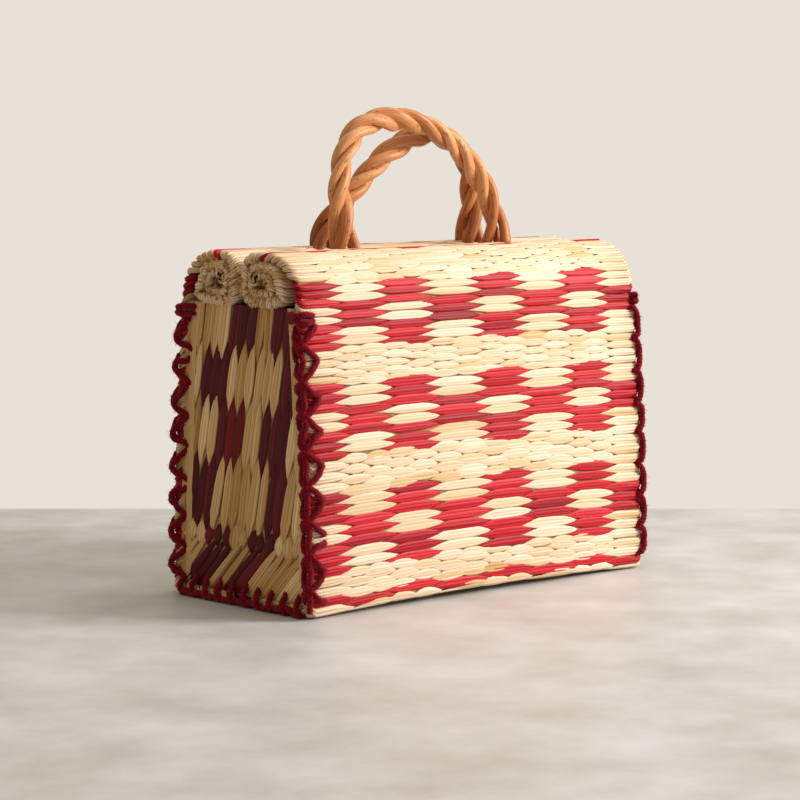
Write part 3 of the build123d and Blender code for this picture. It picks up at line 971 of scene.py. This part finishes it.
def frayed_ends(word, side):
    """Cut ends of reeds that stick out of both ends of a roll."""
    count = frayed_count
    end = np.where(np.arange(count) % 2 == 0, -1.0, 1.0)[:, None]
    angle = rng.uniform(0, 2 * math.pi, (count, 1))
    out = rng.uniform(0.25, 0.9, (count, 1)) ** 0.6
    root = np.concatenate([
        end * (half_length - 2.5),
        -side * (roll_y + 1.5 + np.cos(angle) * out * roll_width * 0.47),
        roll_z + 1.0 + np.sin(angle) * out * roll_height * 0.4,
    ], 1)
    aside, up = rng.normal(0, 0.45, (count, 1)), rng.normal(-0.3, 0.7, (count, 1))
    aim = unit(np.concatenate([end * 0.8, aside, up], 1))
    size = rng.uniform(*frayed_lengths, (count, 1))
    turn = unit(np.cross(aim, rng.normal(0, 1, (count, 3))))
    half = rng.uniform(*frayed_halves, (count, 1))
    bend = rng.normal(0, 1.0, (count, 3)) * np.array([0.2, 1.0, 1.0])
    rows = []
    for share, width in frayed_shape:
        middle = root + aim * size * share + bend * share**2
        rows.append(np.stack([middle - turn * half * width, middle + turn * half * width], 1))
    strips = np.stack(rows, 1)
    tone = vectors(rng.uniform(*frayed_tones, (count, 1, 1)), 0.2, 0 * strips[..., 0])
    piece = grid_piece(word + "_roll_frayed_ends", [(strips, tone, strips * 0.3)], aged_and_painted_shade_reed)
    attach(piece, word + "_lid")


for side, word in ((-1, "front"), (1, "back")):
    handle(word, side)
    stick(word)
    frayed_ends(word, side)


# The wool: crossed stitches up each corner, and loops along the bottom edge of each end

yarn_radius = 1.8
yarn_lobes = 3
yarn_twist = 0.95
cross_pitch = 20.0
cross_count = 8
first_cross = 18.0
front_reach = 10.0
short_reach = 4.5
panel_reach = 8.5
wrap_heights = (171.0, 175.0)
foot_pitch = 12.1
foot_inset = 9
hairs_per_mm = 4.0
hair_lengths = (0.8, 2.6)
lowest_wool = 0.1


def yarn_paths(end, side):
    """The crossed stitches of one upright corner. end is -1 on the left, side 1 in front."""
    reach = front_reach if end < 0 else short_reach
    behind_panel = half_length - panel_recess - 2.0
    over_panel = half_length - panel_recess + 1.3
    crosses = [first_cross + cross_pitch * index for index in range(cross_count)]

    def on_wall(back, path, out):
        """A point this far back from the end of the wall and out of its crests."""
        return mat_place(end * (half_length - back), path, -out, side)

    def on_end(x, edge, inward, height):
        """A point at the end of the bag, this far in from the edge of the wall."""
        return [end * x, side * (edge + inward), height]

    paths = []
    for height, turn in product(crosses, (-1, 1)):
        low = height - turn * cross_pitch / 2
        high = height + turn * cross_pitch / 2
        wobble = rng.normal(0, 1.1, 6)
        edge = wall_line(height)[0]
        paths.append([
            on_wall(reach + 1.5, low + wobble[0], -2.2),
            on_wall(reach - 1.0, low + turn * 1.2 + wobble[0], 0.9),
            on_wall(reach / 2.4, low + turn * 5.0 + wobble[1], 1.5),
            on_end(half_length + 0.6, edge, 0.6, height + wobble[2] * 0.6),
            on_end(half_length + 1.6, edge, 4.2, height + turn * 2.6 + wobble[3]),
            on_end(over_panel, edge, panel_reach - 0.5, high - turn * 3.0 + wobble[4]),
            on_end(behind_panel, edge, panel_reach + 1.5, high + wobble[4]),
        ])
    for height in wrap_heights:
        edge = wall_line(height)[0]
        paths.append([
            on_wall(reach - 1, height + rng.normal(0, 0.6), -2.0),
            on_wall(reach - 2, height + rng.normal(0, 0.6), 1.2),
            on_wall(3.0, height + rng.normal(0, 0.6), 1.5),
            on_end(half_length + 0.9, edge, 1.5, height + rng.normal(0, 0.5)),
            on_end(half_length + 0.2, edge, 6.5, height + rng.normal(0, 0.8)),
            on_end(over_panel, edge, 11.0, height + rng.normal(0, 0.8)),
            on_end(behind_panel, edge, 13.0, height),
        ])
    if end < 0 < side:
        # The left front corner also has a strand of wool up its edge
        strand = []
        for height in np.arange(4.0, crosses[-1] + 8, 5.0):
            x = half_length + rng.normal(0.6, 0.2)
            strand.append(on_end(x, wall_line(height)[0], rng.normal(1.0, 0.7), height))
        paths.append(strand)
    return paths


def foot_paths(end):
    """The loops that hold an end panel to the bottom, and the strand that they go over."""
    reach = half_depth - foot_inset
    run = np.arange(-reach, reach, 5.0)
    out = rng.normal(0, 0.25, run.shape)
    up = rng.normal(0, 0.6, run.shape)
    paths = [vectors(end * (half_length + 0.6 + out), run, 3.0 + up)]
    for place in np.arange(-reach, reach, foot_pitch):
        wobble = rng.normal(0, 0.5, 4)
        paths.append([
            [end * (half_length - 9), place, 1.8],
            [end * (half_length - 3), place + 0.5, 1.0],
            [end * (half_length + 1.2), place + 1.6 + wobble[0], 2.2],
            [end * (half_length + 1.7), place + 3.2 + wobble[1], 6.0 + wobble[2]],
            [end * (half_length - panel_recess + 1.4), place + 5.0 + wobble[3], 9.5],
            [end * (half_length - panel_recess - 2.0), place + 6.0 + wobble[3], 12.5 + wobble[2]],
        ])
    return paths


def hairs_on(points, line, count):
    """Loose hairs that stand out of a strand of wool."""
    rows = rng.integers(0, points.shape[0], count)
    columns = rng.integers(0, points.shape[1], count)
    root = points[rows, columns]
    out = unit(root - line[rows])
    aim = unit(out + rng.normal(0, 0.7, (count, 3)))
    size = rng.uniform(*hair_lengths, (count, 1))
    across = unit(np.cross(aim, rng.normal(0, 1, (count, 3))))
    bend = rng.normal(0, 0.3, (count, 3))
    middle = root + aim * size * 0.5 + bend * 0.6
    tip = root + aim * size + bend * 1.6
    return np.stack([
        np.stack([place - across * half, place + across * half], 1)
        for place, half in ((root, 0.09), (middle, 0.07), (tip, 0.02))
    ], 1)


def yarn_piece(name, paths, node):
    """Spun wool along the paths, with loose hairs."""
    parts, hairs = [], []
    for path in paths:
        line = smooth_line(path, 5)
        points, along, angle = tube_grid(
            line, yarn_radius, 10, lobes=yarn_lobes, lobe=0.16, twist=yarn_twist
        )
        points = points + rng.normal(0, 0.07, points.shape)
        points[..., 2] = np.maximum(points[..., 2], lowest_wool)
        ply = np.cos(yarn_lobes * (angle - yarn_twist * along))
        # Painted shade and highlight: lighter on the crest of each ply, darker in the grooves
        # between them
        shade = 0.5 + 0.175 * ply + rng.normal(0, 0.08, along.shape)
        tone = vectors(shade, 0.25 - 0.25 * ply, 0)
        parts.append(tube_part(points, tone, vectors(along * 1.5, angle * 2, 0)))
        hairs.append(hairs_on(points, line, int(along[-1, 0] * hairs_per_mm)))
    hair = np.concatenate(hairs)
    hair[..., 2] = np.maximum(hair[..., 2], lowest_wool)
    tone = vectors(0.75, 0, 0 * hair[..., 0])
    piece = grid_piece(name, parts, wool, closed=True)
    fuzz = grid_piece(name + "_fuzz", [(hair, tone, hair * 0.5)], wool)
    for part in (piece, fuzz):
        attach(part, "basket")
    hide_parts(node)


for end, end_word in ((-1, "left"), (1, "right")):
    for side, side_word in ((1, "front"), (-1, "back")):
        name = f"{end_word}_{side_word}"
        yarn_piece(name + "_wool", yarn_paths(end, side), name + "_stitches")
    yarn_piece(end_word + "_foot_wool", foot_paths(end), end_word + "_foot_stitches")


# The stage, the lamps and the camera

camera_place = Vector((-1.1486, -1.25025, 0.2868))
camera_azimuth = math.radians(-42.28)
camera_elevation = math.radians(5.85)
image_size = 800
focal_pixels = 2749.3
floor_size = 30.0
wall_distance = 2.005  # from the camera, level, to where the floor meets the wall
wall_fade = 0.012
wall_colour = colour(232, 225, 215)

floor_material, nodes, links, shader = new_material("floor")
where = nodes.new("ShaderNodeTexCoord")
facing = Vector((-math.sin(camera_azimuth), math.cos(camera_azimuth), 0))
facing_dot = nodes.new("ShaderNodeVectorMath")
facing_dot.operation = "DOT_PRODUCT"
facing_dot.inputs[1].default_value = facing
links.new(where.outputs["Object"], facing_dot.inputs[0])
edge = facing.dot(camera_place) + wall_distance
is_wall = set_inputs(nodes.new("ShaderNodeMapRange"), From_Min=edge, From_Max=edge + wall_fade)
links.new(facing_dot.outputs["Value"], is_wall.inputs["Value"])
stain = set_inputs(nodes.new("ShaderNodeTexNoise"), Scale=14.0, Detail=12.0, Roughness=0.62)
links.new(where.outputs["Object"], stain.inputs["Vector"])
stain_tones = ramp(nodes, ((0.25, 172, 170, 166), (0.7, 206, 209, 214)))
links.new(stain.outputs["Fac"], stain_tones.inputs[0])
links.new(stain_tones.outputs[0], shader.inputs["Base Color"])
set_inputs(shader, Roughness=0.45)
wall_light = set_inputs(nodes.new("ShaderNodeEmission"), Color=wall_colour)
mixer = nodes.new("ShaderNodeMixShader")
links.new(is_wall.outputs["Result"], mixer.inputs["Fac"])
links.new(shader.outputs[0], mixer.inputs[1])
links.new(wall_light.outputs[0], mixer.inputs[2])
links.new(mixer.outputs[0], nodes["Material Output"].inputs["Surface"])
mesh = bpy.data.meshes.new("floor")
corners = [(x * floor_size, y * floor_size, 0) for x, y in ((-1, -1), (1, -1), (1, 1), (-1, 1))]
mesh.from_pydata(corners, [], [(0, 1, 2, 3)])
mesh.materials.append(floor_material)
plane = bpy.data.objects.new("floor", mesh)
bpy.context.scene.collection.objects.link(plane)

scene = bpy.context.scene
scene.view_settings.view_transform = "Standard"
world = bpy.data.worlds.new("studio")
scene.world = world
world.use_nodes = True
nodes, links = world.node_tree.nodes, world.node_tree.links
seen = set_inputs(nodes["Background"], Color=wall_colour)
lighting = set_inputs(nodes.new("ShaderNodeBackground"), Color=colour(252, 236, 210), Strength=0.5)
rays = nodes.new("ShaderNodeLightPath")
mixer = nodes.new("ShaderNodeMixShader")
links.new(rays.outputs["Is Camera Ray"], mixer.inputs["Fac"])
links.new(lighting.outputs[0], mixer.inputs[1])
links.new(seen.outputs[0], mixer.inputs[2])
links.new(mixer.outputs[0], nodes["World Output"].inputs["Surface"])


def lamp(name, place, aim, size, power, tint):
    """A square area lamp that faces a point."""
    light = bpy.data.lights.new(name, "AREA")
    light.size = size
    light.energy = power
    light.color = tint
    holder = bpy.data.objects.new(name, light)
    holder.location = place
    holder.rotation_mode = "QUATERNION"
    holder.rotation_quaternion = (Vector(aim) - Vector(place)).to_track_quat("-Z", "Y")
    scene.collection.objects.link(holder)


lamp("window", (1.3, -1.35, 0.9), (0, 0, 0.1), 0.7, 52, (1.0, 0.97, 0.92))
lamp("ceiling", (0.3, -0.1, 1.9), (0, 0, 0), 1.2, 14, (1.0, 0.98, 0.95))

back_way = Vector((
    math.sin(camera_azimuth) * math.cos(camera_elevation),
    -math.cos(camera_azimuth) * math.cos(camera_elevation),
    math.sin(camera_elevation),
))
camera_data = bpy.data.cameras.new("camera")
camera_data.sensor_width = 36.0
camera_data.lens = focal_pixels * camera_data.sensor_width / image_size
camera = bpy.data.objects.new("camera", camera_data)
camera.location = camera_place
camera.rotation_mode = "QUATERNION"
camera.rotation_quaternion = (-back_way).to_track_quat("-Z", "Y")
scene.collection.objects.link(camera)
scene.camera = camera
